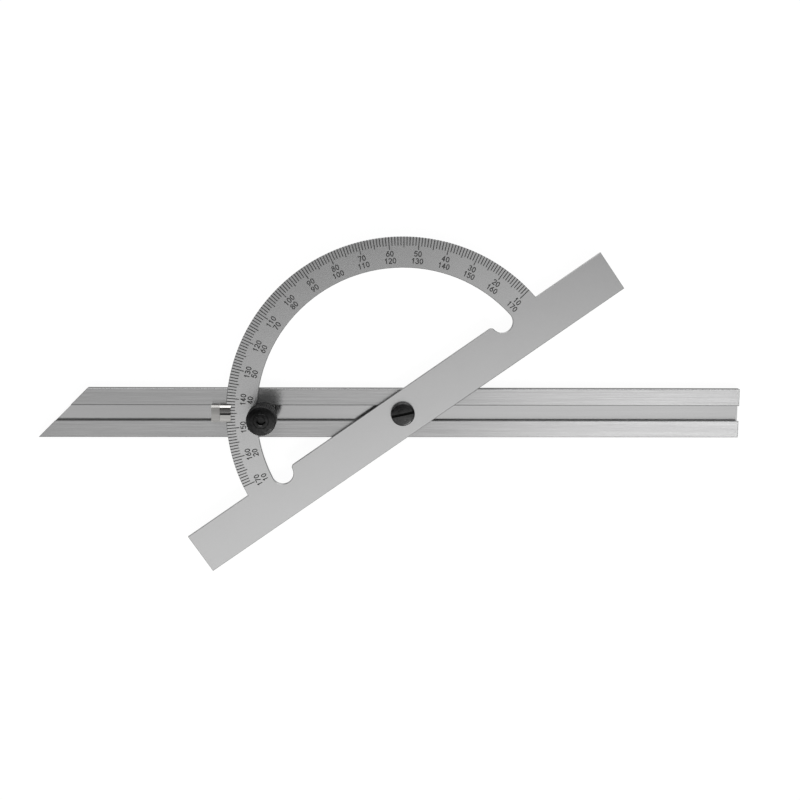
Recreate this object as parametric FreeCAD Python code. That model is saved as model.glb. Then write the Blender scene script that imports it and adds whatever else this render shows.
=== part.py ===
import FreeCAD, Part
import math
import os

# Workshop protractor: an arc and a base bar in one flat plate, which swings over a grooved rail and
# slides along it. Millimetres. The rail lies along X with its back on z = 0, its front faces +Z, and
# the origin is on the pivot axis. The whole is drawn set to the reading 145.

# Rail: flat steel bar with a dovetail groove along its front and one mitred end
rail_length = 300.0
rail_width = 21.0
rail_thickness = 4.0
rail_right_reach = 145.5
rail_end_angle = 45.0
rail_edge_break = 0.25
groove_mouth = 6.5
groove_depth = 2.6
groove_flank = 30.0

# Plate: arc and base bar cut from one sheet
plate_thickness = 2.0
arc_outer_radius = 75.0
arc_band = 13.0
bar_length = 213.5
bar_right_reach = 107.5
bar_width = 18.4
bar_offset = 0.4
bar_angle = 35.0
notch_radius = 4.6
notch_lip_radius = 1.5
plate_edge_break = 0.2

# Running clearances
slide_clearance = 0.08
plate_gap = 0.05
pivot_clearance = 0.05
thread_play = 0.02
rim_clearance = 0.15
lip_clearance = 0.1
block_sink = 0.2

# Pivot: dovetail block in the groove and a slotted shoulder screw
pivot_block_length = 20.0
block_end_chamfer = 0.5
shoulder_radius = 3.0
pivot_thread_radius = 2.5
pivot_head_radius = 5.1
pivot_head_height = 2.8
pivot_head_round = 1.2
slot_width = 1.1
slot_depth = 1.2
slot_angle = 12.0
thread_end_gap = 0.2
thread_chamfer = 0.4

# Index slider: dovetail foot with an upstand, whose lip hooks over the rim of the arc
index_reach = 6.1
index_step_length = 3.7
index_step_drop = 0.6
index_width = 7.1
lip_overlap = 2.1
lip_thickness = 1.9
crown_radius = 24.0
index_chamfer = 0.8
index_line_width = 0.8
index_line_depth = 0.25
foot_end_wall = 2.1

# Clamp: stud in the index slider and a tall knurled nut on it
stud_radius = 2.0
stud_inset = 3.1
stud_end_depth = 3.0
stud_chamfer = 0.4
nut_collar_radius = 5.0
nut_collar_height = 10.5
nut_head_radius = 6.25
nut_head_height = 11.5
nut_chamfer = 0.5
nut_mouth_radius = 2.75
knurl_count = 48
knurl_depth = 0.3

# Levels and places that follow from the sizes above
arc_inner_radius = arc_outer_radius - arc_band
groove_floor = rail_thickness - groove_depth
block_bottom = groove_floor + slide_clearance
block_top = rail_thickness - block_sink
plate_bottom = rail_thickness + plate_gap
plate_top = plate_bottom + plate_thickness
bar_upper_edge = bar_width / 2 - bar_offset
bar_lower_edge = -bar_width / 2 - bar_offset
stud_x = -(arc_inner_radius - stud_inset)
index_left = -(arc_outer_radius + index_reach)
lip_end = -(arc_outer_radius - lip_overlap)
lip_bottom = plate_top + lip_clearance
lip_top = lip_bottom + lip_thickness
foot_right = stud_x + stud_radius + foot_end_wall
nut_bottom = plate_top + plate_gap
nut_top = nut_bottom + nut_collar_height + nut_head_height
through = 1.0


def point(x, y, z=0.0):
    return FreeCAD.Vector(x, y, z)


def prism(points, direction):
    """Solid from a closed outline of straight edges, swept along a direction."""
    wire = Part.makePolygon(points + [points[0]])
    return Part.Face(wire).extrude(direction)


def edges_in_plane(solid, level):
    """Edges that lie wholly at one height."""
    found = []
    for edge in solid.Edges:
        box = edge.BoundBox
        if abs(box.ZMin - level) < 1e-6 and abs(box.ZMax - level) < 1e-6:
            found.append(edge)
    return found


def revolved(profile):
    """Solid of revolution about Z from (radius, height) corners."""
    points = [point(radius, 0, height) for radius, height in profile]
    face = Part.Face(Part.makePolygon(points + [points[0]]))
    return face.revolve(point(0, 0), point(0, 0, 1), 360)


def groove_half_width(height):
    """Half the width of the dovetail groove at a height in the rail."""
    return groove_mouth / 2 + (rail_thickness - height) * math.tan(math.radians(groove_flank))


def dovetail(left, right, bottom, top, clearance):
    """Bar of dovetail section between two places along the rail."""
    low = groove_half_width(bottom) - clearance
    high = groove_half_width(top) - clearance
    outline = [
        point(left, -low, bottom),
        point(left, low, bottom),
        point(left, high, top),
        point(left, -high, top),
    ]
    return prism(outline, point(right - left, 0))


def make_rail():
    half = rail_width / 2
    left = rail_right_reach - rail_length
    mitre = rail_width * math.tan(math.radians(rail_end_angle))
    outline = [
        point(left, -half),
        point(rail_right_reach, -half),
        point(rail_right_reach, half),
        point(left + mitre, half),
    ]
    bar = prism(outline, point(0, 0, rail_thickness))
    rims = edges_in_plane(bar, 0.0) + edges_in_plane(bar, rail_thickness)
    bar = bar.makeChamfer(rail_edge_break, rims)
    groove = dovetail(
        left - through, rail_right_reach + through, groove_floor, rail_thickness + through, 0.0
    )
    return bar.cut(groove)


def plate_outline():
    """Outline of the plate with the base bar along X and the arc above it."""
    left = bar_right_reach - bar_length
    foot = math.sqrt(arc_outer_radius**2 - bar_upper_edge**2)
    corners = [
        point(-foot, bar_upper_edge),
        point(left, bar_upper_edge),
        point(left, bar_lower_edge),
        point(bar_right_reach, bar_lower_edge),
        point(bar_right_reach, bar_upper_edge),
        point(foot, bar_upper_edge),
    ]
    rim = Part.Arc(corners[-1], point(0, arc_outer_radius), corners[0]).toShape()
    return Part.Wire([Part.makePolygon(corners), rim])


def window_outline():
    """Outline of the opening: inner rim, a round notch at each end and the bar's upper edge."""
    edge_y = bar_upper_edge
    foot = math.sqrt(arc_inner_radius**2 - edge_y**2)
    inward = (arc_inner_radius - notch_radius) / arc_inner_radius
    centre = point(foot * inward, edge_y * inward)
    lip = centre.x - math.sqrt(notch_radius**2 - (edge_y - centre.y) ** 2)
    deepest = centre.y - notch_radius
    rim = Part.Arc(point(foot, edge_y), point(0, arc_inner_radius), point(-foot, edge_y))
    left = Part.Arc(point(-foot, edge_y), point(-centre.x, deepest), point(-lip, edge_y))
    right = Part.Arc(point(lip, edge_y), point(centre.x, deepest), point(foot, edge_y))
    edge = Part.LineSegment(point(-lip, edge_y), point(lip, edge_y))
    outline = Part.Wire([curve.toShape() for curve in (rim, left, edge, right)])
    return outline, lip


def make_plate():
    outline, lip = window_outline()
    window = Part.Face(outline).extrude(point(0, 0, plate_thickness))
    plate = Part.Face(plate_outline()).extrude(point(0, 0, plate_thickness)).cut(window)
    corners = []
    for edge in plate.Edges:
        middle = edge.CenterOfMass
        upright = edge.BoundBox.ZLength > plate_thickness / 2
        if upright and abs(abs(middle.x) - lip) < 1e-3 and abs(middle.y - bar_upper_edge) < 1e-3:
            corners.append(edge)
    plate = plate.makeFillet(notch_lip_radius, corners)
    rims = edges_in_plane(plate, 0.0) + edges_in_plane(plate, plate_thickness)
    plate = plate.makeChamfer(plate_edge_break, rims)
    bore_radius = shoulder_radius + pivot_clearance
    bore = Part.makeCylinder(bore_radius, plate_thickness + 2 * through, point(0, 0, -through))
    plate = plate.cut(bore)
    plate.rotate(point(0, 0), point(0, 0, 1), bar_angle)
    plate.translate(point(0, 0, plate_bottom))
    return plate


def make_pivot_block():
    half = pivot_block_length / 2
    block = dovetail(-half, half, block_bottom, block_top, slide_clearance)
    ends = [edge for edge in block.Edges if edge.BoundBox.XLength < 1e-6]
    block = block.makeChamfer(block_end_chamfer, ends)
    hole = Part.makeCylinder(
        pivot_thread_radius + thread_play, rail_thickness, point(0, 0, groove_floor - through)
    )
    return block.cut(hole)


def make_pivot_screw():
    tip = block_bottom + thread_end_gap
    seat = plate_top + plate_gap
    head_top = seat + pivot_head_height
    screw = revolved(
        [
            (0, tip),
            (pivot_thread_radius - thread_chamfer, tip),
            (pivot_thread_radius, tip + thread_chamfer),
            (pivot_thread_radius, block_top),
            (shoulder_radius, block_top),
            (shoulder_radius, seat),
            (pivot_head_radius, seat),
            (pivot_head_radius, head_top),
            (0, head_top),
        ]
    )
    screw = screw.makeFillet(pivot_head_round, edges_in_plane(screw, head_top))
    reach = pivot_head_radius + through
    corner = point(-reach, -slot_width / 2, head_top - slot_depth)
    slot = Part.makeBox(2 * reach, slot_width, slot_depth + through, corner)
    slot.rotate(point(0, 0), point(0, 0, 1), slot_angle)
    return screw.cut(slot)


def crowned_bar(left, right, top):
    """Stretch of the index upstand: a shallow barrel along X between two chamfers."""
    base = rail_thickness + plate_gap
    half = index_width / 2
    crown_half = half - index_chamfer
    shoulder = top - crown_radius + math.sqrt(crown_radius**2 - crown_half**2)
    crown = Part.Arc(
        point(left, crown_half, shoulder), point(left, 0, top), point(left, -crown_half, shoulder)
    )
    sides = Part.makePolygon(
        [
            point(left, -crown_half, shoulder),
            point(left, -half, shoulder - index_chamfer),
            point(left, -half, base),
            point(left, half, base),
            point(left, half, shoulder - index_chamfer),
            point(left, crown_half, shoulder),
        ]
    )
    return Part.Face(Part.Wire([crown.toShape(), sides])).extrude(point(right - left, 0))


def make_index_slider():
    step_end = index_left + index_step_length
    foot = dovetail(index_left, foot_right, block_bottom, block_top, slide_clearance)
    neck_right = -arc_outer_radius
    neck = dovetail(
        index_left, neck_right, block_top, rail_thickness + plate_gap, slide_clearance
    )
    step = crowned_bar(index_left, step_end, lip_top - index_step_drop)
    lip = crowned_bar(step_end, lip_end, lip_top)
    slider = foot.fuse([neck, step, lip]).removeSplitter()
    slot_floor = plate_bottom - plate_gap
    jaw = Part.makeCylinder(
        arc_outer_radius + rim_clearance, lip_bottom - slot_floor, point(0, 0, slot_floor)
    )
    line = Part.makeBox(
        lip_end - step_end + through,
        index_line_width,
        index_line_depth + through,
        point(step_end, -index_line_width / 2, lip_top - index_line_depth),
    )
    hole = Part.makeCylinder(
        stud_radius + thread_play, rail_thickness, point(stud_x, 0, groove_floor - through)
    )
    return slider.cut(jaw).cut(line).cut(hole)


def make_clamp_stud():
    tip = block_bottom + thread_end_gap
    top = nut_top - stud_end_depth
    stud = revolved(
        [
            (0, tip),
            (stud_radius - stud_chamfer, tip),
            (stud_radius, tip + stud_chamfer),
            (stud_radius, top - stud_chamfer),
            (stud_radius - stud_chamfer, top),
            (0, top),
        ]
    )
    stud.translate(point(stud_x, 0))
    return stud


def knurled_column():
    """Straight knurl over the head of the nut, as a star-shaped column."""
    corners = []
    for index in range(2 * knurl_count):
        angle = math.pi * index / knurl_count
        radius = nut_head_radius - knurl_depth * (index % 2)
        corners.append(point(radius * math.cos(angle), radius * math.sin(angle)))
    column = prism(corners, point(0, 0, nut_head_height))
    column.translate(point(0, 0, nut_bottom + nut_collar_height))
    return column


def make_clamp_nut():
    bore_radius = stud_radius + pivot_clearance
    mouth = nut_mouth_radius - bore_radius
    shoulder = nut_bottom + nut_collar_height
    blank = revolved(
        [
            (0, nut_bottom),
            (nut_collar_radius - nut_chamfer, nut_bottom),
            (nut_collar_radius, nut_bottom + nut_chamfer),
            (nut_collar_radius, shoulder),
            (nut_head_radius - nut_chamfer, shoulder),
            (nut_head_radius, shoulder + nut_chamfer),
            (nut_head_radius, nut_top - nut_chamfer),
            (nut_head_radius - nut_chamfer, nut_top),
            (0, nut_top),
        ]
    )
    collar = Part.makeCylinder(
        nut_collar_radius, nut_collar_height, point(0, 0, nut_bottom)
    )
    nut = blank.common(collar.fuse(knurled_column()))
    bore = revolved(
        [
            (0, nut_bottom - through),
            (bore_radius, nut_bottom - through),
            (bore_radius, nut_top - mouth),
            (nut_mouth_radius, nut_top),
            (nut_mouth_radius, nut_top + through),
            (0, nut_top + through),
        ]
    )
    nut = nut.cut(bore)
    nut.translate(point(stud_x, 0))
    return nut


def export(node, shape):
    if len(shape.Solids) != 1 or not shape.isValid():
        raise ValueError(f"{node} isn't one sound solid")
    solid = shape.Solids[0]
    solid.exportStep(f"parts/{node}.step")
    print(node, round(solid.Volume, 1))


os.makedirs("parts", exist_ok=True)
export("rail", make_rail())
export("protractor_plate", make_plate())
export("pivot_slide_block", make_pivot_block())
export("pivot_screw", make_pivot_screw())
export("index_slider", make_index_slider())
export("clamp_stud", make_clamp_stud())
export("clamp_nut", make_clamp_nut())
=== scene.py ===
import math

import bmesh
import bpy
from mathutils import Matrix, Vector


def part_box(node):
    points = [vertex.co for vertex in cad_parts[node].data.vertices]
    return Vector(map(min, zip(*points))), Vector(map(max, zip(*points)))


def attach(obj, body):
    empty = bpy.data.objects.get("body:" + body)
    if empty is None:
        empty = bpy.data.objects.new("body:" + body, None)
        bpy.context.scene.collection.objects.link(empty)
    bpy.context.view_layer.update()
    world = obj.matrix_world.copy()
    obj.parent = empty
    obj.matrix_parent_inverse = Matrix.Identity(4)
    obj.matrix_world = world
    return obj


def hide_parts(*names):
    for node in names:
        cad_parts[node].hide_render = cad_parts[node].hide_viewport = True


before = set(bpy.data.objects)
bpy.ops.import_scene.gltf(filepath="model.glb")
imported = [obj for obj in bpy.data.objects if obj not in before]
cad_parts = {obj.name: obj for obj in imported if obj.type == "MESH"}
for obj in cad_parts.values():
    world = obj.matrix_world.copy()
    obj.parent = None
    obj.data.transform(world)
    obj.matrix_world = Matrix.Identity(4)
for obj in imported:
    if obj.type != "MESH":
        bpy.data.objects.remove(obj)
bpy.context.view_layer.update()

# Workshop protractor, laid flat with its rail along X and its front up. The scale reads 145.

# Camera: high over the rail and a little behind the arc, so that the sides of the nut, the screw
# and the index that face the top of the picture just show.
scene = bpy.context.scene
scene.view_settings.view_transform = "Standard"

eye = Vector((-0.0229, 0.0822, 0.5600))
aim = Vector((-0.0012, 0.0059, 0.00605))
picture_top = Vector((-0.00703, 1.0, 0.0))
forward = (aim - eye).normalized()
right = forward.cross(picture_top).normalized()
upward = right.cross(forward)
lens = bpy.data.cameras.new("camera")
lens.lens = 59.16
lens.sensor_width = 36.0
lens.clip_start = 0.01
camera = bpy.data.objects.new("camera", lens)
turned = Matrix((right, upward, -forward)).transposed()
camera.matrix_world = Matrix.Translation(eye) @ turned.to_4x4()
scene.collection.objects.link(camera)
scene.camera = camera


# Floor and light: a white table in a light tent. The tent has a dark hole overhead, where the
# camera looks in, and a dark strip behind it and one on its left. One lamp behind the object
# lights its edges, and one in front on the right lights the grain of the rail.
def add_node(tree, kind, **values):
    """Adds a node; a value goes to the setting of that name, or else to the input of that name."""
    node = tree.nodes.new(kind)
    for name, value in values.items():
        if hasattr(node, name):
            setattr(node, name, value)
        else:
            node.inputs[name.replace("_", " ")].default_value = value
    return node


def chain(tree, operation, *sources, clamp=False):
    """Math node fed by sockets or by plain numbers; returns its output."""
    node = tree.nodes.new("ShaderNodeMath")
    node.operation = operation
    node.use_clamp = clamp
    for socket, value in zip(node.inputs, sources):
        if isinstance(value, (int, float)):
            socket.default_value = value
        else:
            tree.links.new(value, socket)
    return node.outputs[0]


def ramp(tree, source, *stops):
    """Colour ramp through grey or coloured stops (position, colour); returns its output."""
    node = tree.nodes.new("ShaderNodeValToRGB")
    elements = node.color_ramp.elements
    while len(elements) < len(stops):
        elements.new(0.5)
    for element, (position, colour) in zip(elements, stops):
        if isinstance(colour, (int, float)):
            colour = (colour, colour, colour)
        element.position = position
        element.color = (*colour, 1.0)
    tree.links.new(source, node.inputs["Fac"])
    return node.outputs["Color"]


def new_material(name):
    """Material with its own tree, emptied but for the output."""
    material = bpy.data.materials.new(name)
    material.use_nodes = True
    tree = material.node_tree
    tree.nodes.clear()
    output = tree.nodes.new("ShaderNodeOutputMaterial")
    return material, tree, output.inputs["Surface"]


floor_white, tree, surface = new_material("floor_white")
matt = add_node(tree, "ShaderNodeBsdfDiffuse", Color=(0.9, 0.9, 0.9, 1))
glow = add_node(tree, "ShaderNodeEmission", Color=(1, 1, 1, 1), Strength=1.06)
rays = add_node(tree, "ShaderNodeLightPath")
seen = chain(tree, "ADD", rays.outputs["Is Camera Ray"], rays.outputs["Is Glossy Ray"])
seen = chain(tree, "ADD", seen, rays.outputs["Is Transmission Ray"], clamp=True)
mixed = add_node(tree, "ShaderNodeMixShader")
tree.links.new(chain(tree, "MULTIPLY", seen, 0.88), mixed.inputs["Fac"])
tree.links.new(matt.outputs[0], mixed.inputs[1])
tree.links.new(glow.outputs[0], mixed.inputs[2])
tree.links.new(mixed.outputs[0], surface)

floor_level = -0.0002
floor_half = 3.0
floor_mesh = bpy.data.meshes.new("floor")
floor_mesh.from_pydata(
    [
        (-floor_half, -floor_half, floor_level),
        (floor_half, -floor_half, floor_level),
        (floor_half, floor_half, floor_level),
        (-floor_half, floor_half, floor_level),
    ],
    [],
    [(0, 1, 2, 3)],
)
floor_mesh.materials.append(floor_white)
floor = bpy.data.objects.new("floor", floor_mesh)
scene.collection.objects.link(floor)

# The tent's light goes by the angle from the hole in radians, from front to back, and from left
# to right. The camera sees plain white beyond the table, and so would a clear piece; the metal
# sees the tent.
hole_axis = Vector((-0.135, 0.055, 1.0)).normalized()
world = bpy.data.worlds.new("studio")
scene.world = world
world.use_nodes = True
tree = world.node_tree
tree.nodes.clear()
place = add_node(tree, "ShaderNodeTexCoord")
across = add_node(tree, "ShaderNodeVectorMath", operation="DOT_PRODUCT")
tree.links.new(place.outputs["Generated"], across.inputs[0])
across.inputs[1].default_value = hole_axis
from_hole = chain(tree, "ARCCOSINE", across.outputs["Value"])
tent = ramp(tree, from_hole, (0.08, 0.12), (0.135, 0.38), (0.19, 0.78), (0.33, 1.0))
split = add_node(tree, "ShaderNodeSeparateXYZ")
tree.links.new(place.outputs["Generated"], split.inputs[0])
towards_back = chain(tree, "MULTIPLY_ADD", split.outputs["Y"], 0.5, 0.5)
roof = ramp(tree, towards_back, (0.425, 1.0), (0.56, 0.10), (0.61, 0.10), (0.72, 0.85))
towards_right = chain(tree, "MULTIPLY_ADD", split.outputs["X"], 0.5, 0.5)
walls = ramp(
    tree,
    towards_right,
    (0.18, 0.9),
    (0.26, 0.35),
    (0.32, 0.35),
    (0.39, 1.0),
    (0.63, 1.0),
    (0.72, 0.6),
)
studio_light = chain(tree, "MULTIPLY", chain(tree, "MULTIPLY", tent, roof), walls)
sky = add_node(tree, "ShaderNodeBackground", Strength=1.12)
tree.links.new(studio_light, sky.inputs["Color"])
backdrop = add_node(tree, "ShaderNodeBackground", Color=(1, 1, 1, 1), Strength=1.0)
rays = add_node(tree, "ShaderNodeLightPath")
shown = add_node(tree, "ShaderNodeMixShader")
through = rays.outputs["Is Transmission Ray"]
unlit = chain(tree, "ADD", rays.outputs["Is Camera Ray"], through, clamp=True)
tree.links.new(unlit, shown.inputs["Fac"])
tree.links.new(sky.outputs[0], shown.inputs[1])
tree.links.new(backdrop.outputs[0], shown.inputs[2])
world_out = add_node(tree, "ShaderNodeOutputWorld")
tree.links.new(shown.outputs[0], world_out.inputs["Surface"])


def add_softbox(name, place, width, height, radiance):
    """Rectangular lamp that faces the object."""
    lamp = bpy.data.lights.new(name, "AREA")
    lamp.shape = "RECTANGLE"
    lamp.size = width
    lamp.size_y = height
    lamp.energy = radiance * math.pi * width * height
    box = bpy.data.objects.new(name, lamp)
    box.location = place
    box.rotation_euler = (-Vector(place)).to_track_quat("-Z", "Y").to_euler()
    box.visible_camera = False
    scene.collection.objects.link(box)


add_softbox("softbox_back", (0.1, 1.2, 0.28), 1.6, 0.42, 2.4)
add_softbox("softbox_right", (0.39, -0.70, 0.85), 0.44, 0.34, 7.5)


# Rail: flat bar of ground steel with a dovetail groove milled along its front. The belt has left a
# fine grain along its flanges, which spreads the light across them more than along them. The floor
# of the groove is smoother, and a dark line of painted shade runs along its mouth.
def new_group(name, inputs, outputs):
    """Shader group with number or vector inputs (name: value) and number outputs."""
    group = bpy.data.node_groups.new(name, "ShaderNodeTree")
    for label, value in inputs.items():
        kind = "NodeSocketVector" if isinstance(value, tuple) else "NodeSocketFloat"
        socket = group.interface.new_socket(name=label, in_out="INPUT", socket_type=kind)
        socket.default_value = value
    for label in outputs:
        group.interface.new_socket(name=label, in_out="OUTPUT", socket_type="NodeSocketFloat")
    start = group.nodes.new("NodeGroupInput")
    end = group.nodes.new("NodeGroupOutput")
    return group, start.outputs, end.inputs


def use_group(tree, group, **values):
    """Places a shader group in a material with its own values."""
    node = tree.nodes.new("ShaderNodeGroup")
    node.node_tree = group
    for name, value in values.items():
        node.inputs[name.replace("_", " ")].default_value = value
    return node


def add_bump(tree, height, strength, distance, shader):
    """Bump from a height socket into a shader's normal."""
    node = add_node(tree, "ShaderNodeBump", Strength=strength, Distance=distance)
    tree.links.new(height, node.inputs["Height"])
    tree.links.new(node.outputs["Normal"], shader.inputs["Normal"])


long_grain, given, result = new_group(
    "long_grain",
    {"Position": (0.0, 0.0, 0.0), "Lines per metre": 9000.0, "Line length": 0.03},
    ["Fine", "Coarse"],
)
tree = long_grain
squeeze = tree.nodes.new("ShaderNodeCombineXYZ")
tree.links.new(chain(tree, "DIVIDE", 1.0, given["Line length"]), squeeze.inputs["X"])
tree.links.new(given["Lines per metre"], squeeze.inputs["Y"])
tree.links.new(given["Lines per metre"], squeeze.inputs["Z"])
stretched = add_node(tree, "ShaderNodeVectorMath", operation="MULTIPLY")
tree.links.new(given["Position"], stretched.inputs[0])
tree.links.new(squeeze.outputs[0], stretched.inputs[1])
fine = add_node(tree, "ShaderNodeTexNoise", Scale=1.0, Detail=2.0, Roughness=0.6)
tree.links.new(stretched.outputs[0], fine.inputs["Vector"])
tree.links.new(fine.outputs["Fac"], result["Fine"])
wide = add_node(tree, "ShaderNodeTexNoise", Scale=0.23, Detail=1.0, Roughness=0.5)
tree.links.new(stretched.outputs[0], wide.inputs["Vector"])
tree.links.new(wide.outputs["Fac"], result["Coarse"])

# How a cut sheet or bar darkens where it doesn't face up or down: its cut sides a little, partly
# for their rougher cut finish and partly as painted shade, and the undercut flanks of a groove,
# which face downwards, the most, as painted shade where little light reaches them
cut_side_and_painted_shade, given, result = new_group(
    "cut_side_and_painted_shade", {"Facing": (0.0, 0.0, 1.0), "Side": 0.5, "Flank": 0.15}, ["Shade"]
)
tree = cut_side_and_painted_shade
split = add_node(tree, "ShaderNodeSeparateXYZ")
tree.links.new(given["Facing"], split.inputs[0])
flat = add_node(tree, "ShaderNodeMapRange", interpolation_type="SMOOTHSTEP")
flat.inputs["From Min"].default_value = 0.6
flat.inputs["From Max"].default_value = 0.95
tree.links.new(chain(tree, "ABSOLUTE", split.outputs["Z"]), flat.inputs["Value"])
under = chain(tree, "LESS_THAN", split.outputs["Z"], -0.1)
to_flank = chain(tree, "SUBTRACT", given["Flank"], given["Side"])
steep = chain(tree, "MULTIPLY_ADD", under, to_flank, given["Side"])
shade = chain(
    tree, "MULTIPLY_ADD", flat.outputs["Result"], chain(tree, "SUBTRACT", 1.0, steep), steep
)
tree.links.new(shade, result["Shade"])


def shaded(tree, colour, shade):
    """Colour times a shade from 0 to 1."""
    node = add_node(tree, "ShaderNodeMix", data_type="RGBA", blend_type="MULTIPLY")
    node.inputs["Factor"].default_value = 1.0
    tree.links.new(colour, node.inputs[6])
    tree.links.new(shade, node.inputs[7])
    return node.outputs[2]


rail_steel, tree, surface = new_material("rail_steel")
rail_shine = add_node(
    tree,
    "ShaderNodeBsdfPrincipled",
    Metallic=1.0,
    Anisotropic=0.9,
    Specular_Tint=(0.4, 0.4, 0.4, 1),
)
tree.links.new(rail_shine.outputs[0], surface)
along = add_node(tree, "ShaderNodeTangent", direction_type="RADIAL", axis="X")
tree.links.new(along.outputs[0], rail_shine.inputs["Tangent"])
place = add_node(tree, "ShaderNodeTexCoord")
grain = use_group(tree, long_grain, Lines_per_metre=7000.0, Line_length=0.012)
tree.links.new(place.outputs["Object"], grain.inputs["Position"])
split = add_node(tree, "ShaderNodeSeparateXYZ")
tree.links.new(place.outputs["Object"], split.inputs[0])
groove_limit = 0.0028
painted_shade_reach = 0.0036
painted_shade_dimming = 0.55
on_flange = chain(tree, "GREATER_THAN", split.outputs["Z"], groove_limit)
ground = chain(
    tree,
    "ADD",
    chain(tree, "MULTIPLY", grain.outputs["Fine"], 0.6),
    chain(tree, "MULTIPLY", grain.outputs["Coarse"], 0.4),
)
flange_tone = ramp(tree, ground, (0.34, 0.42), (0.66, 0.53))
floor_tone = ramp(tree, grain.outputs["Coarse"], (0.3, 0.485), (0.7, 0.505))
tone = add_node(tree, "ShaderNodeMix", data_type="RGBA")
tree.links.new(on_flange, tone.inputs["Factor"])
tree.links.new(floor_tone, tone.inputs[6])
tree.links.new(flange_tone, tone.inputs[7])
# Cut sides a little darker, partly for their finish and partly as painted shade; the undercut
# flanks of the groove darker still, as painted shade
side = use_group(tree, cut_side_and_painted_shade, Side=0.33, Flank=0.2)
tree.links.new(place.outputs["Normal"], side.inputs["Facing"])
# A band of the flanges along the groove's mouth is darkened: painted shade for the gap under the
# lips
off_centre = chain(tree, "ABSOLUTE", split.outputs["Y"])
in_painted_shade = chain(tree, "MULTIPLY", on_flange, chain(tree, "LESS_THAN", off_centre, painted_shade_reach))
edge_shade = chain(tree, "MULTIPLY_ADD", in_painted_shade, -painted_shade_dimming, 1.0)
dimmed = shaded(tree, tone.outputs[2], chain(tree, "MULTIPLY", side.outputs["Shade"], edge_shade))
tree.links.new(dimmed, rail_shine.inputs["Base Color"])
relief = chain(
    tree, "MULTIPLY", grain.outputs["Fine"], chain(tree, "MULTIPLY_ADD", on_flange, 0.97, 0.03)
)
add_bump(tree, relief, 0.2, 0.00003, rail_shine)
rail_rough = chain(tree, "MULTIPLY_ADD", on_flange, 0.12, 0.14)
tree.links.new(rail_rough, rail_shine.inputs["Roughness"])


def dress(node, material):
    """Gives a CAD node its finished material."""
    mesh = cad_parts[node].data
    mesh.materials.clear()
    mesh.materials.append(material)


dress("rail", rail_steel)

# Plate: one sheet of steel with the arc and the base bar, plated with satin chrome after it was
# cut out. Its cut sides are darker than its front, partly for their rougher cut finish and partly
# as painted shade.
satin_chrome, tree, surface = new_material("satin_chrome")
plate_shine = add_node(tree, "ShaderNodeBsdfPrincipled", Metallic=1.0)
tree.links.new(plate_shine.outputs[0], surface)
place = add_node(tree, "ShaderNodeTexCoord")
blast = add_node(tree, "ShaderNodeTexNoise", Scale=7000.0, Detail=3.0, Roughness=0.6)
tree.links.new(place.outputs["Object"], blast.inputs["Vector"])
cloud = add_node(tree, "ShaderNodeTexNoise", Scale=60.0, Detail=3.0, Roughness=0.55)
tree.links.new(place.outputs["Object"], cloud.inputs["Vector"])
both = chain(
    tree,
    "ADD",
    chain(tree, "MULTIPLY", blast.outputs["Fac"], 0.5),
    chain(tree, "MULTIPLY", cloud.outputs["Fac"], 0.5),
)
front_tone = ramp(tree, both, (0.3, 0.535), (0.7, 0.565))
# Cut sides darker, partly for their finish and partly as painted shade
side = use_group(tree, cut_side_and_painted_shade, Side=0.3, Flank=0.3)
tree.links.new(place.outputs["Normal"], side.inputs["Facing"])
tree.links.new(shaded(tree, front_tone, side.outputs["Shade"]), plate_shine.inputs["Base Color"])
add_bump(tree, blast.outputs["Fac"], 0.25, 0.00003, plate_shine)
plate_rough = chain(tree, "MULTIPLY_ADD", cloud.outputs["Fac"], 0.04, 0.24)
tree.links.new(plate_rough, plate_shine.inputs["Roughness"])


def finished_copy(node, name, sharpest):
    """Copy of a CAD solid with its triangles joined and its round faces smooth."""
    solid = bmesh.new()
    solid.from_mesh(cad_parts[node].data)
    bmesh.ops.remove_doubles(solid, verts=solid.verts, dist=1e-7)
    solid.verts.index_update()
    mesh = bpy.data.meshes.new(name)
    mesh.from_pydata(
        [corner.co for corner in solid.verts],
        [],
        [[corner.index for corner in face.verts] for face in solid.faces],
    )
    solid.free()
    mesh.shade_smooth()
    mesh.set_sharp_from_angle(angle=math.radians(sharpest))
    made = bpy.data.objects.new(name, mesh)
    scene.collection.objects.link(made)
    return made


plate = finished_copy("protractor_plate", "arc_and_bar", 30.0)
plate.data.materials.append(satin_chrome)
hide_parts("protractor_plate")
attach(plate, "plate")

# The scale: lines and figures cut into the plate's front and filled with black. A line stands at
# each degree from 10 to 170, and both rows of figures are read at the index.
def new_ink(name, darkest, lightest, sheen):
    """Black filling of an engraved line, a little worn in places."""
    material, tree, surface = new_material(name)
    ink = add_node(tree, "ShaderNodeBsdfPrincipled", Roughness=0.6, Specular_IOR_Level=sheen)
    tree.links.new(ink.outputs[0], surface)
    place = add_node(tree, "ShaderNodeTexCoord")
    worn = add_node(tree, "ShaderNodeTexNoise", Scale=2500.0, Detail=2.0)
    tree.links.new(place.outputs["Object"], worn.inputs["Vector"])
    tone = ramp(tree, worn.outputs["Fac"], (0.35, darkest), (0.75, lightest))
    tree.links.new(tone, ink.inputs["Base Color"])
    return material


scale_black = new_ink("scale_black", 0.022, 0.05, 0.5)

plate_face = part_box("protractor_plate")[1][2]
rim_radius = 0.075
rim_bevel = 0.0002
bar_angle = math.radians(35.0)
mark_rise = 0.000012
first_reading = 10
last_reading = 170


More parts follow.
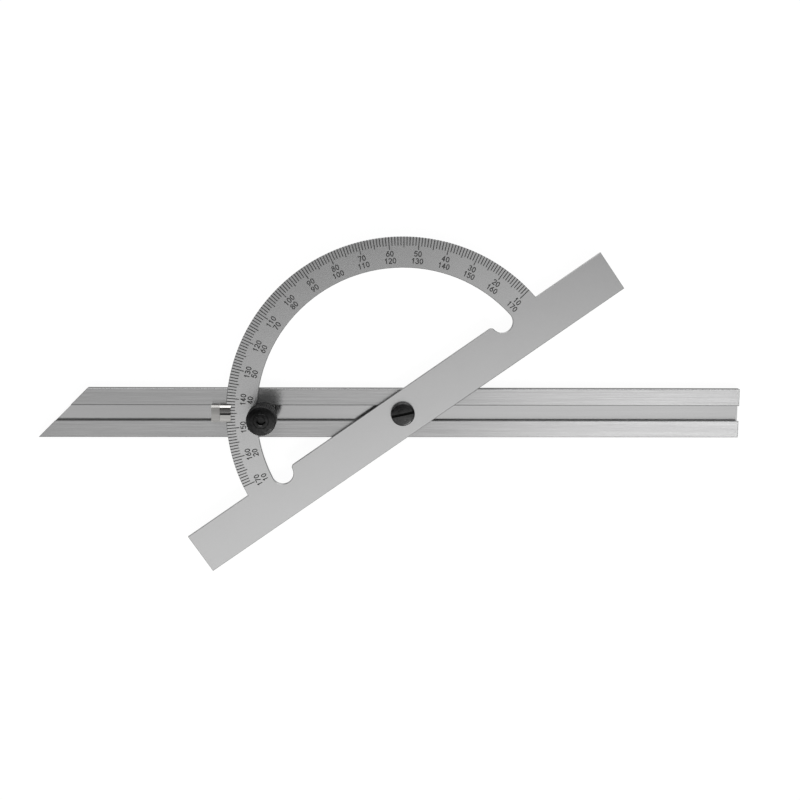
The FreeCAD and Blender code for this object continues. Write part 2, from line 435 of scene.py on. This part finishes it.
def new_geometry_tree(name, inputs):
    """Geometry tree with named inputs (name: (socket kind, value)) and one geometry output."""
    made = bpy.data.node_groups.new(name, "GeometryNodeTree")
    for label, (kind, value) in inputs.items():
        socket = made.interface.new_socket(
            name=label, in_out="INPUT", socket_type="NodeSocket" + kind
        )
        if value is not None:
            socket.default_value = value
    made.interface.new_socket(name="Geometry", in_out="OUTPUT", socket_type="NodeSocketGeometry")
    start = made.nodes.new("NodeGroupInput")
    end = made.nodes.new("NodeGroupOutput")
    return made, start.outputs, end.inputs["Geometry"]


def grown(name, tree, start_mesh, values):
    """Runs a geometry tree once and returns its result as a plain mesh object."""
    seed = bpy.data.objects.new(name, start_mesh)
    scene.collection.objects.link(seed)
    modifier = seed.modifiers.new("made", "NODES")
    modifier.node_group = tree
    for item in tree.interface.items_tree:
        if item.in_out == "INPUT" and item.name in values:
            modifier[item.identifier] = values[item.name]
    graph = bpy.context.evaluated_depsgraph_get()
    mesh = bpy.data.meshes.new_from_object(seed.evaluated_get(graph))
    mesh.name = name
    seed.modifiers.remove(modifier)
    seed.data = mesh
    return seed


def geo_vector(tree, x, y, z):
    """Vector from three sockets or plain numbers."""
    node = tree.nodes.new("ShaderNodeCombineXYZ")
    for socket, value in zip(node.inputs, (x, y, z)):
        if isinstance(value, (int, float)):
            socket.default_value = value
        else:
            tree.links.new(value, socket)
    return node.outputs[0]


# One engraved line, which runs inwards from the rim and down over its bevel
line_tree, given, line_out = new_geometry_tree(
    "engraved_line",
    {
        "Rim radius": ("Float", 0.075),
        "Length": ("Float", 0.004),
        "Width": ("Float", 0.0004),
        "Rise": ("Float", 0.00001),
        "Bevel": ("Float", 0.0002),
    },
)
tree = line_tree
flat_length = chain(tree, "SUBTRACT", given["Length"], given["Bevel"])
thickness = chain(tree, "MULTIPLY", given["Rise"], 4.0)
strip = add_node(tree, "GeometryNodeMeshCube")
tree.links.new(geo_vector(tree, flat_length, given["Width"], thickness), strip.inputs["Size"])
strip_middle = chain(
    tree,
    "SUBTRACT",
    chain(tree, "SUBTRACT", given["Rim radius"], given["Bevel"]),
    chain(tree, "MULTIPLY", flat_length, 0.5),
)
strip_put = add_node(tree, "GeometryNodeTransform")
tree.links.new(strip.outputs["Mesh"], strip_put.inputs["Geometry"])
tree.links.new(
    geo_vector(tree, strip_middle, 0.0, chain(tree, "MULTIPLY", given["Rise"], -1.0)),
    strip_put.inputs["Translation"],
)
lip_length = chain(tree, "MULTIPLY", given["Bevel"], math.sqrt(2))
lip = add_node(tree, "GeometryNodeMeshCube")
tree.links.new(geo_vector(tree, lip_length, given["Width"], thickness), lip.inputs["Size"])
lip_put = add_node(tree, "GeometryNodeTransform", Rotation=(0.0, math.radians(45.0), 0.0))
tree.links.new(lip.outputs["Mesh"], lip_put.inputs["Geometry"])
half_bevel = chain(tree, "MULTIPLY", given["Bevel"], 0.5)
sunk = chain(tree, "MULTIPLY", given["Rise"], 0.7)
tree.links.new(
    geo_vector(
        tree,
        chain(tree, "SUBTRACT", chain(tree, "SUBTRACT", given["Rim radius"], half_bevel), sunk),
        0.0,
        chain(tree, "SUBTRACT", chain(tree, "MULTIPLY", half_bevel, -1.0), sunk),
    ),
    lip_put.inputs["Translation"],
)
joined = add_node(tree, "GeometryNodeJoinGeometry")
tree.links.new(strip_put.outputs[0], joined.inputs[0])
tree.links.new(lip_put.outputs[0], joined.inputs[0])
tree.links.new(joined.outputs[0], line_out)

# The ring of lines: a long one at each ten, a middle one at each five, short ones between
ring_tree, given, ring_out = new_geometry_tree(
    "scale_lines",
    {
        "Line count": ("Int", 161),
        "First angle": ("Float", 0.0),
        "Step": ("Float", math.radians(1.0)),
        "Rim radius": ("Float", 0.075),
        "Long": ("Float", 0.0053),
        "Middle": ("Float", 0.0045),
        "Short": ("Float", 0.00375),
        "Width": ("Float", 0.0004),
        "Rise": ("Float", 0.00001),
        "Bevel": ("Float", 0.0002),
        "Face height": ("Float", 0.006),
        "Material": ("Material", None),
    },
)
tree = ring_tree
places = add_node(tree, "GeometryNodePoints")
tree.links.new(given["Line count"], places.inputs["Count"])
tree.links.new(geo_vector(tree, 0.0, 0.0, given["Face height"]), places.inputs["Position"])
index = add_node(tree, "GeometryNodeInputIndex").outputs[0]
turn = geo_vector(
    tree, 0.0, 0.0, chain(tree, "MULTIPLY_ADD", index, given["Step"], given["First angle"])
)
is_ten = chain(tree, "COMPARE", chain(tree, "MODULO", index, 10.0), 0.0, 0.1)
is_five = chain(tree, "COMPARE", chain(tree, "MODULO", index, 10.0), 5.0, 0.1)
is_unit = chain(tree, "SUBTRACT", chain(tree, "SUBTRACT", 1.0, is_ten), is_five)
all_lines = add_node(tree, "GeometryNodeJoinGeometry")
for length, chosen in (("Long", is_ten), ("Middle", is_five), ("Short", is_unit)):
    line = tree.nodes.new("GeometryNodeGroup")
    line.node_tree = line_tree
    for label in ("Rim radius", "Width", "Rise", "Bevel"):
        tree.links.new(given[label], line.inputs[label])
    tree.links.new(given[length], line.inputs["Length"])
    spread = add_node(tree, "GeometryNodeInstanceOnPoints")
    tree.links.new(places.outputs[0], spread.inputs["Points"])
    tree.links.new(line.outputs[0], spread.inputs["Instance"])
    tree.links.new(turn, spread.inputs["Rotation"])
    tree.links.new(chosen, spread.inputs["Selection"])
    tree.links.new(spread.outputs[0], all_lines.inputs[0])
real = add_node(tree, "GeometryNodeRealizeInstances")
paint = add_node(tree, "GeometryNodeSetMaterial")
tree.links.new(all_lines.outputs[0], real.inputs[0])
tree.links.new(real.outputs[0], paint.inputs["Geometry"])
tree.links.new(given["Material"], paint.inputs["Material"])
tree.links.new(paint.outputs[0], ring_out)

scale_lines = grown(
    "scale_lines",
    ring_tree,
    bpy.data.meshes.new("scale_lines_seed"),
    {
        "Line count": last_reading - first_reading + 1,
        "First angle": bar_angle + math.radians(first_reading),
        "Step": math.radians(1.0),
        "Rim radius": rim_radius,
        "Long": 0.0053,
        "Middle": 0.0045,
        "Short": 0.00375,
        "Width": 0.0004,
        "Rise": mark_rise,
        "Bevel": rim_bevel,
        "Face height": plate_face,
        "Material": scale_black,
    },
)
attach(scale_lines, "plate")

# Figures: strokes on a grid one wide and one high, as the round cutter of an engraving machine
# runs. A stroke ends where it turns sharply, and the next one starts there.
def oval(centre_x, centre_y, wide, high, start, end, steps=16):
    """Points on part of an oval, from one angle in degrees to another."""
    found = []
    for index in range(steps + 1):
        angle = math.radians(start + (end - start) * index / steps)
        found.append((centre_x + wide * math.cos(angle), centre_y + high * math.sin(angle)))
    return found


figure_strokes = {
    "0": [oval(0.5, 0.5, 0.48, 0.5, 90, 450, 22)],
    "1": [[(0.22, 0.76), (0.58, 1.0)], [(0.58, 1.0), (0.58, 0.0)]],
    "2": [oval(0.48, 0.71, 0.46, 0.29, 165, -35, 12) + [(0.0, 0.0)], [(0.0, 0.0), (1.0, 0.0)]],
    "3": [oval(0.46, 0.75, 0.42, 0.25, 150, -90, 12), oval(0.46, 0.26, 0.5, 0.26, 90, -155, 13)],
    "4": [[(1.0, 0.27), (0.0, 0.27)], [(0.0, 0.27), (0.7, 1.0)], [(0.7, 1.0), (0.7, 0.0)]],
    "5": [
        [(0.92, 1.0), (0.14, 1.0)],
        [(0.14, 1.0), (0.06, 0.55)],
        [(0.06, 0.55)] + oval(0.48, 0.32, 0.5, 0.32, 135, -150, 14),
    ],
    "6": [[(0.78, 1.0), (0.3, 0.72)] + oval(0.5, 0.31, 0.48, 0.31, 160, 520, 20)],
    "7": [[(0.0, 1.0), (1.0, 1.0)], [(1.0, 1.0), (0.36, 0.0)]],
    "8": [oval(0.5, 0.77, 0.4, 0.23, -90, 270, 18), oval(0.5, 0.27, 0.5, 0.27, 90, 450, 20)],
    "9": [[(0.22, 0.0), (0.7, 0.28)] + oval(0.5, 0.69, 0.48, 0.31, -20, 340, 20)],
}
figure_width = 0.00118
figure_height = 0.00205
figure_pitch = 0.00172
stroke_width = 0.00042
row_radii = {"outer": 0.0680, "inner": 0.0650}
round_end = ((1.0, 0.0), (0.92, 0.38), (0.71, 0.71), (0.38, 0.92), (0.0, 1.0))


def with_round_ends(stroke):
    """Stroke as (point, share of full width), drawn out at both ends to a half circle."""
    if (stroke[0] - stroke[-1]).length < 1e-6:
        return [(point, 1.0) for point in stroke[:-1]], True
    made = []
    for end, inner in ((stroke[0], stroke[1]), (stroke[-1], stroke[-2])):
        outward = (end - inner).normalized() * stroke_width / 2
        made.append([(end + outward * reach, max(share, 0.05)) for reach, share in round_end])
    first, last = made
    return first + [(point, 1.0) for point in stroke[1:-1]] + last[::-1], False


def lay_figures(text, radius, angle):
    """Strokes of one number, centred at a radius and an angle, with its top outwards."""
    placed = []
    outward = Vector((math.cos(angle), math.sin(angle)))
    along = Vector((math.sin(angle), -math.cos(angle)))
    for index, figure in enumerate(text):
        centre = (index - (len(text) - 1) / 2) * figure_pitch
        for stroke in figure_strokes[figure]:
            placed.append(
                [
                    along * (centre + (x - 0.5) * figure_width)
                    + outward * (radius + (y - 0.5) * figure_height)
                    for x, y in stroke
                ]
            )
    return placed


corners = []
runs = []
shares = []
for reading in range(first_reading, last_reading + 1, 10):
    angle = bar_angle + math.radians(reading)
    for value, row in ((reading, "outer"), (180 - reading, "inner")):
        for stroke in lay_figures(str(value), row_radii[row], angle):
            start = len(corners)
            drawn, closed = with_round_ends(stroke)
            corners += [(point.x, point.y, plate_face) for point, share in drawn]
            shares += [share for point, share in drawn]
            runs += [(start + i, start + i + 1) for i in range(len(drawn) - 1)]
            if closed:
                runs.append((len(corners) - 1, start))
figure_lines = bpy.data.meshes.new("figure_lines")
figure_lines.from_pydata(corners, runs, [])
nib_share = figure_lines.attributes.new("nib_share", "FLOAT", "POINT")
nib_share.data.foreach_set("value", shares)

cut_tree, given, cut_out = new_geometry_tree(
    "engraved_strokes",
    {
        "Strokes": ("Geometry", None),
        "Width": ("Float", 0.0004),
        "Rise": ("Float", 0.00001),
        "Material": ("Material", None),
    },
)
tree = cut_tree
paths = add_node(tree, "GeometryNodeMeshToCurve")
tree.links.new(given["Strokes"], paths.inputs["Mesh"])
level = add_node(tree, "GeometryNodeSetCurveNormal", mode="Z_UP")
tree.links.new(paths.outputs[0], level.inputs["Curve"])
nib = add_node(tree, "GeometryNodeCurvePrimitiveCircle", mode="RADIUS")
nib.inputs["Resolution"].default_value = 8
tree.links.new(chain(tree, "MULTIPLY", given["Width"], 0.5), nib.inputs["Radius"])
flat_nib = add_node(tree, "GeometryNodeTransform")
tree.links.new(nib.outputs["Curve"], flat_nib.inputs["Geometry"])
squash = chain(tree, "DIVIDE", given["Rise"], chain(tree, "MULTIPLY", given["Width"], 0.5))
tree.links.new(geo_vector(tree, 1.0, squash, 1.0), flat_nib.inputs["Scale"])
nib_size = add_node(tree, "GeometryNodeInputNamedAttribute", data_type="FLOAT")
nib_size.inputs["Name"].default_value = "nib_share"
cut = add_node(tree, "GeometryNodeCurveToMesh")
cut.inputs["Fill Caps"].default_value = True
tree.links.new(level.outputs[0], cut.inputs["Curve"])
tree.links.new(flat_nib.outputs[0], cut.inputs["Profile Curve"])
tree.links.new(nib_size.outputs["Attribute"], cut.inputs["Scale"])
real = add_node(tree, "GeometryNodeRealizeInstances")
paint = add_node(tree, "GeometryNodeSetMaterial")
tree.links.new(cut.outputs[0], real.inputs[0])
tree.links.new(real.outputs[0], paint.inputs["Geometry"])
tree.links.new(given["Material"], paint.inputs["Material"])
tree.links.new(paint.outputs[0], cut_out)

scale_figures = grown(
    "scale_figures",
    cut_tree,
    figure_lines,
    {"Width": stroke_width, "Rise": mark_rise, "Material": scale_black},
)
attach(scale_figures, "plate")

# Pivot slide block: milled steel of dovetail section, which runs in the rail's groove. The pivot
# screw holds it under the plate, so that only its ends ever show.
block_steel, tree, surface = new_material("block_steel")
block_shine = add_node(tree, "ShaderNodeBsdfPrincipled", Metallic=1.0, Roughness=0.38)
tree.links.new(block_shine.outputs[0], surface)
place = add_node(tree, "ShaderNodeTexCoord")
grain = use_group(tree, long_grain, Lines_per_metre=4000.0, Line_length=0.006)
tree.links.new(place.outputs["Object"], grain.inputs["Position"])
tree.links.new(
    ramp(tree, grain.outputs["Fine"], (0.3, (0.36, 0.36, 0.37)), (0.7, (0.52, 0.52, 0.53))),
    block_shine.inputs["Base Color"],
)
add_bump(tree, grain.outputs["Fine"], 0.3, 0.00003, block_shine)
dress("pivot_slide_block", block_steel)

# Pivot screw: turned steel, blackened, with a slotted head whose edge is well rounded. Its
# shoulder is the axle of the plate, and its thread holds in the slide block.
turning_marks, given, result = new_group(
    "turning_marks",
    {"Position": (0.0, 0.0, 0.0), "Rings per metre": 9000.0},
    ["Rings"],
)
tree = turning_marks
split = add_node(tree, "ShaderNodeSeparateXYZ")
tree.links.new(given["Position"], split.inputs[0])
flat_place = add_node(tree, "ShaderNodeCombineXYZ")
tree.links.new(split.outputs["X"], flat_place.inputs["X"])
tree.links.new(split.outputs["Y"], flat_place.inputs["Y"])
away = add_node(tree, "ShaderNodeVectorMath", operation="LENGTH")
tree.links.new(flat_place.outputs[0], away.inputs[0])
rings = add_node(tree, "ShaderNodeTexNoise", noise_dimensions="1D", Scale=1.0, Detail=2.0)
tree.links.new(
    chain(tree, "MULTIPLY", away.outputs["Value"], given["Rings per metre"]), rings.inputs["W"]
)
tree.links.new(rings.outputs["Fac"], result["Rings"])


def new_black_oxide(name, centre, darkest, lightest, glance):
    """Blackened turned steel, whose turning marks run round an axis that stands at the centre."""
    material, tree, surface = new_material(name)
    shine = add_node(
        tree, "ShaderNodeBsdfPrincipled", Metallic=1.0, Specular_Tint=(glance, glance, glance, 1)
    )
    tree.links.new(shine.outputs[0], surface)
    place = add_node(tree, "ShaderNodeTexCoord")
    centred = add_node(tree, "ShaderNodeMapping", Location=(-centre[0], -centre[1], 0.0))
    tree.links.new(place.outputs["Object"], centred.inputs["Vector"])
    marks = use_group(tree, turning_marks, Rings_per_metre=5000.0)
    tree.links.new(centred.outputs[0], marks.inputs["Position"])
    cloud = add_node(tree, "ShaderNodeTexNoise", Scale=900.0, Detail=3.0, Roughness=0.6)
    tree.links.new(place.outputs["Object"], cloud.inputs["Vector"])
    tone = ramp(tree, cloud.outputs["Fac"], (0.3, darkest), (0.75, lightest))
    tree.links.new(tone, shine.inputs["Base Color"])
    rough = chain(tree, "MULTIPLY_ADD", marks.outputs["Rings"], 0.16, 0.12)
    tree.links.new(rough, shine.inputs["Roughness"])
    add_bump(tree, marks.outputs["Rings"], 0.6, 0.00004, shine)
    return material


def softened(corners, closed):
    """Outline of a turned part from (radius, height, rounding) corners, with its arcs drawn in.

    A further ring just past each end of an arc keeps the shading of the flat beside it even.
    """
    steps = 5
    hold = 0.00004
    points = []
    for index, (radius, height, rounding) in enumerate(corners):
        here = Vector((radius, height))
        ends = index in (0, len(corners) - 1) and not closed
        if rounding == 0 or ends:
            points.append(here)
            continue
        before = (Vector(corners[index - 1][:2]) - here).normalized()
        after = (Vector(corners[(index + 1) % len(corners)][:2]) - here).normalized()
        half = before.angle(after) / 2
        middle = here + (before + after).normalized() * (rounding / math.sin(half))
        start = here + before * (rounding / math.tan(half))
        end = here + after * (rounding / math.tan(half))
        sweep = (start - middle).angle_signed(end - middle)
        points.append(start + before * hold)
        for step in range(steps + 1):
            turn = -sweep * step / steps
            arm = start - middle
            points.append(
                middle
                + Vector(
                    (
                        arm.x * math.cos(turn) - arm.y * math.sin(turn),
                        arm.x * math.sin(turn) + arm.y * math.cos(turn),
                    )
                )
            )
        points.append(end + after * hold)
    return points


def turned_mesh(name, outline, segments, axis, closed):
    """Mesh of revolution of an outline (radius, height) about an upright axis."""
    solid = bmesh.new()
    rings = []
    for radius, height in outline:
        if radius < 1e-7:
            rings.append([solid.verts.new((axis[0], axis[1], height))])
            continue
        ring = []
        for index in range(segments):
            angle = 2 * math.pi * index / segments
            x = axis[0] + radius * math.cos(angle)
            y = axis[1] + radius * math.sin(angle)
            ring.append(solid.verts.new((x, y, height)))
        rings.append(ring)
    pairs = list(zip(rings, rings[1:]))
    if closed:
        pairs.append((rings[-1], rings[0]))
    for low, high in pairs:
        for index in range(segments):
            following = (index + 1) % segments
            corners = [low[index % len(low)], low[following % len(low)]]
            corners += [high[following % len(high)], high[index % len(high)]]
            unique = list(dict.fromkeys(corners))
            solid.faces.new(unique)
    bmesh.ops.recalc_face_normals(solid, faces=solid.faces)
    mesh = bpy.data.meshes.new(name)
    solid.to_mesh(mesh)
    solid.free()
    return mesh


def smooth_round(mesh, sharpest):
    """Smooth shading that breaks at edges sharper than an angle in degrees."""
    mesh.shade_smooth()
    mesh.set_sharp_from_angle(angle=math.radians(sharpest))


screw_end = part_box("pivot_screw")[0][2]
head_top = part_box("pivot_screw")[1][2]
head_radius = 0.0051
head_seat = head_top - 0.0028
head_rounding = 0.0009
shoulder_radius = 0.0030
shoulder_end = 0.0038
thread_radius = 0.0025
point_height = 0.0004
broken_edge = 0.0001
slot_half = 0.00055
slot_floor = head_top - 0.0012
slot_turn = math.radians(12.0)
screw_outline = softened(
    [
        (0.0, screw_end, 0),
        (thread_radius - point_height, screw_end, broken_edge),
        (thread_radius, screw_end + point_height, broken_edge),
        (thread_radius, shoulder_end, broken_edge),
        (shoulder_radius, shoulder_end, broken_edge),
        (shoulder_radius, head_seat, broken_edge),
        (head_radius, head_seat, broken_edge),
        (head_radius, head_top - 0.00044, head_rounding),
        (0.0034, head_top - 0.00022, 0),
        (0.0026, head_top - 0.00013, 0),
        (0.0018, head_top - 0.00006, 0),
        (0.0010, head_top - 0.00002, 0),
        (0.0, head_top, 0),
    ],
    False,
)
screw_mesh = turned_mesh("slotted_screw", screw_outline, 96, (0.0, 0.0), False)
screw_mesh.materials.append(new_black_oxide("black_oxide_pivot", (0.0, 0.0), 0.036, 0.068, 1.0))
slotted_screw = bpy.data.objects.new("slotted_screw", screw_mesh)
scene.collection.objects.link(slotted_screw)
slot_tool = bmesh.new()
bmesh.ops.create_cube(slot_tool, size=1.0)
slot_height = head_top - slot_floor + 0.002
slot_middle = slot_floor + slot_height / 2
bmesh.ops.scale(slot_tool, vec=(0.014, 2 * slot_half, slot_height), verts=slot_tool.verts)
slot_matrix = Matrix.Rotation(slot_turn, 3, "Z")
bmesh.ops.rotate(slot_tool, cent=(0, 0, 0), matrix=slot_matrix, verts=slot_tool.verts)
bmesh.ops.translate(slot_tool, vec=(0, 0, slot_middle), verts=slot_tool.verts)
slot_mesh = bpy.data.meshes.new("slot_tool")
slot_tool.to_mesh(slot_mesh)
slot_tool.free()
# The slot's faces take a near-black copy of the blackened steel: painted shade in the slot
slot_mesh.materials.append(new_black_oxide("slot_painted_shade", (0.0, 0.0), 0.004, 0.010, 0.3))
slot_box = bpy.data.objects.new("slot_tool", slot_mesh)
scene.collection.objects.link(slot_box)


def settle(made):
    """Turns an object's modifiers into its own mesh and removes them."""
    graph = bpy.context.evaluated_depsgraph_get()
    mesh = bpy.data.meshes.new_from_object(made.evaluated_get(graph))
    mesh.name = made.name
    made.modifiers.clear()
    made.data = mesh


milled = slotted_screw.modifiers.new("slot", "BOOLEAN")
milled.operation = "DIFFERENCE"
milled.solver = "EXACT"
milled.material_mode = "TRANSFER"
milled.object = slot_box
settle(slotted_screw)
bpy.data.objects.remove(slot_box)
smooth_round(slotted_screw.data, 30.0)
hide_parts("pivot_screw")
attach(slotted_screw, "pivot_carriage")

# Index slider: milled to a dovetail foot, a step and a hooked lip that holds the rim of the arc,
# and nickel plated. The lip is polished and the step isn't. A black line in a groove on the lip
# marks the reading.
bright_nickel, tree, surface = new_material("bright_nickel")
nickel_shine = add_node(tree, "ShaderNodeBsdfPrincipled", Metallic=1.0)
tree.links.new(nickel_shine.outputs[0], surface)
place = add_node(tree, "ShaderNodeTexCoord")
grain = use_group(tree, long_grain, Lines_per_metre=6000.0, Line_length=0.004)
tree.links.new(place.outputs["Object"], grain.inputs["Position"])
tree.links.new(
    ramp(tree, grain.outputs["Coarse"], (0.3, (0.35, 0.345, 0.335)), (0.7, (0.43, 0.423, 0.41))),
    nickel_shine.inputs["Base Color"],
)
split = add_node(tree, "ShaderNodeSeparateXYZ")
tree.links.new(place.outputs["Object"], split.inputs[0])
step_end = -0.0774
on_step = chain(tree, "LESS_THAN", split.outputs["X"], step_end)
lip_rough = chain(tree, "MULTIPLY_ADD", grain.outputs["Coarse"], 0.12, 0.10)
nickel_rough = chain(tree, "MULTIPLY_ADD", on_step, 0.26, lip_rough)
tree.links.new(nickel_rough, nickel_shine.inputs["Roughness"])
add_bump(tree, grain.outputs["Fine"], 0.15, 0.00002, nickel_shine)

slider = finished_copy("index_slider", "hooked_slider", 30.0)
slider.data.materials.append(bright_nickel)
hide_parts("index_slider")
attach(slider, "index_carriage")

lip_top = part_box("index_slider")[1][2]
line_left = step_end
line_right = -0.0729
line_half = 0.0004
line_top = lip_top - 0.00010
line_bottom = lip_top - 0.00025
line_mesh = bpy.data.meshes.new("index_line")
line_mesh.from_pydata(
    [
        (x, y, z)
        for z in (line_bottom, line_top)
        for x, y in (
            (line_left, -line_half),
            (line_right, -line_half),
            (line_right, line_half),
            (line_left, line_half),
        )
    ],
    [],
    [(3, 2, 1, 0), (4, 5, 6, 7), (0, 1, 5, 4), (1, 2, 6, 5), (2, 3, 7, 6), (3, 0, 4, 7)],
)
line_mesh.materials.append(new_ink("index_black", 0.004, 0.012, 0.1))
index_line = bpy.data.objects.new("index_line", line_mesh)
scene.collection.objects.link(index_line)
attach(index_line, "index_carriage")

# Clamp stud and nut: a blackened stud stands in the slider, and on it runs a tall turned nut with
# a plain collar that presses the arc on the rail, and a knurled head with a crowned end.
nut_low, nut_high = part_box("clamp_nut")
nut_axis = ((nut_low[0] + nut_high[0]) / 2, (nut_low[1] + nut_high[1]) / 2)
nut_bottom = nut_low[2]
nut_top = nut_high[2]
nut_shoulder = nut_top - 0.0115
stud_end = nut_top - 0.0030
bore_radius = 0.00205
thread_crest = 0.00165
thread_depth = 0.00035
thread_pitch = 0.0007
collar_radius = 0.0050
knurl_radius = 0.00625
nut_chamfer = 0.0005
nut_outline = softened(
    [
        (bore_radius, nut_bottom, 0.00015),
        (collar_radius - nut_chamfer, nut_bottom, broken_edge),
        (collar_radius, nut_bottom + nut_chamfer, broken_edge),
        (collar_radius, nut_shoulder, 0.0002),
        (knurl_radius - nut_chamfer, nut_shoulder, broken_edge),
        (knurl_radius, nut_shoulder + nut_chamfer, broken_edge),
        (knurl_radius, nut_top - 0.0010, broken_edge),
        (0.00580, nut_top - 0.00055, 0.00012),
        (0.00500, nut_top - 0.00037, 0),
        (0.00420, nut_top - 0.00025, 0),
        (0.00325, nut_top - 0.00013, 0),
        (0.00310, nut_top - 0.00026, 0.00004),
        (0.00295, nut_top - 0.00010, 0),
        (0.00205, nut_top, 0.00005),
        (thread_crest, nut_top - thread_depth, 0.00005),
    ],
    True,
)
thread_rows = 24
thread_high = nut_top - 0.0005
thread_low = stud_end + 0.0001
for row in range(thread_rows + 1):
    height = thread_high + (thread_low - thread_high) * row / thread_rows
    nut_outline.append(Vector((thread_crest, height)))
nut_outline.append(Vector((bore_radius, thread_low - 0.00005)))
nut_mesh = turned_mesh("nut_blank", nut_outline, 384, nut_axis, True)

# The knurl presses straight ridges into the head, and a tap cuts the thread's turns into the bore
nut_tree, given, nut_out = new_geometry_tree(
    "knurl_and_thread",
    {
        "Blank": ("Geometry", None),
        "Axis": ("Vector", None),
        "Ridges": ("Float", 48.0),
        "Ridge depth": ("Float", 0.0003),
        "Head radius": ("Float", 0.00625),
        "Head from": ("Float", 0.0166),
        "Thread low": ("Float", 0.0251),
        "Thread high": ("Float", 0.0276),
        "Thread crest": ("Float", 0.00165),
        "Thread depth": ("Float", thread_depth),
        "Thread reach": ("Float", 0.0019),
        "Pitch": ("Float", thread_pitch),
        "Material": ("Material", None),
    },
)
tree = nut_tree
spot = add_node(tree, "GeometryNodeInputPosition")
arm = add_node(tree, "ShaderNodeVectorMath", operation="SUBTRACT")
tree.links.new(spot.outputs[0], arm.inputs[0])
tree.links.new(given["Axis"], arm.inputs[1])
split = add_node(tree, "ShaderNodeSeparateXYZ")
tree.links.new(arm.outputs[0], split.inputs[0])
level = split.outputs["Z"]
radius = chain(
    tree,
    "SQRT",
    chain(
        tree,
        "ADD",
        chain(tree, "MULTIPLY", split.outputs["X"], split.outputs["X"]),
        chain(tree, "MULTIPLY", split.outputs["Y"], split.outputs["Y"]),
    ),
)
turns = chain(
    tree, "DIVIDE", chain(tree, "ARCTAN2", split.outputs["Y"], split.outputs["X"]), 2 * math.pi
)
tooth = chain(tree, "PINGPONG", chain(tree, "MULTIPLY", turns, given["Ridges"]), 0.5)
valley = chain(tree, "POWER", chain(tree, "MULTIPLY", tooth, 2.0), 1.25)
ridge = chain(
    tree, "SUBTRACT", given["Head radius"], chain(tree, "MULTIPLY", valley, given["Ridge depth"])
)
on_head = chain(tree, "GREATER_THAN", level, given["Head from"])
knurled = chain(tree, "MINIMUM", radius, ridge)
with_knurl = chain(
    tree,
    "ADD",
    chain(tree, "MULTIPLY", knurled, on_head),
    chain(tree, "MULTIPLY", radius, chain(tree, "SUBTRACT", 1.0, on_head)),
)
helix = chain(
    tree, "PINGPONG", chain(tree, "ADD", chain(tree, "DIVIDE", level, given["Pitch"]), turns), 0.5
)
thread = chain(
    tree,
    "MULTIPLY_ADD",
    chain(tree, "MULTIPLY", helix, 2.0),
    given["Thread depth"],
    given["Thread crest"],
)
in_thread = chain(
    tree,
    "MULTIPLY",
    chain(
        tree,
        "MULTIPLY",
        chain(tree, "GREATER_THAN", level, given["Thread low"]),
        chain(tree, "LESS_THAN", level, given["Thread high"]),
    ),
    chain(tree, "LESS_THAN", radius, given["Thread reach"]),
)
final_radius = chain(
    tree,
    "ADD",
    chain(tree, "MULTIPLY", thread, in_thread),
    chain(tree, "MULTIPLY", with_knurl, chain(tree, "SUBTRACT", 1.0, in_thread)),
)
stretch = chain(tree, "SUBTRACT", chain(tree, "DIVIDE", final_radius, radius), 1.0)
push = add_node(tree, "ShaderNodeVectorMath", operation="SCALE")
tree.links.new(geo_vector(tree, split.outputs["X"], split.outputs["Y"], 0.0), push.inputs[0])
tree.links.new(stretch, push.inputs["Scale"])
pressed = add_node(tree, "GeometryNodeSetPosition")
tree.links.new(given["Blank"], pressed.inputs["Geometry"])
tree.links.new(push.outputs[0], pressed.inputs["Offset"])
real = add_node(tree, "GeometryNodeRealizeInstances")
paint = add_node(tree, "GeometryNodeSetMaterial")
tree.links.new(pressed.outputs[0], real.inputs[0])
tree.links.new(real.outputs[0], paint.inputs["Geometry"])
tree.links.new(given["Material"], paint.inputs["Material"])
tree.links.new(paint.outputs[0], nut_out)

clamp_black = new_black_oxide("black_oxide_clamp", nut_axis, 0.022, 0.044, 0.4)
# A near-black copy for the faces inside the bore: painted shade in the deep hole
bore_painted_shade = new_black_oxide("bore_painted_shade", nut_axis, 0.004, 0.010, 0.3)
knurled_nut = grown(
    "knurled_nut",
    nut_tree,
    nut_mesh,
    {
        "Axis": (nut_axis[0], nut_axis[1], 0.0),
        "Ridges": 48.0,
        "Ridge depth": 0.0003,
        "Head radius": knurl_radius,
        "Head from": nut_shoulder - broken_edge,
        "Thread low": thread_low,
        "Thread high": thread_high,
        "Thread crest": thread_crest,
        "Thread depth": thread_depth,
        "Pitch": thread_pitch,
        "Material": clamp_black,
    },
)
smooth_round(knurled_nut.data, 35.0)
# Faces inside the bore below the thread's top take the near-black material: painted shade
knurled_nut.data.materials.append(bore_painted_shade)
for face in knurled_nut.data.polygons:
    from_axis = math.hypot(face.center.x - nut_axis[0], face.center.y - nut_axis[1])
    if from_axis < bore_radius and face.center.z < thread_high:
        face.material_index = 1
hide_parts("clamp_nut")
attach(knurled_nut, "clamp_nut")
dress("clamp_stud", clamp_black)
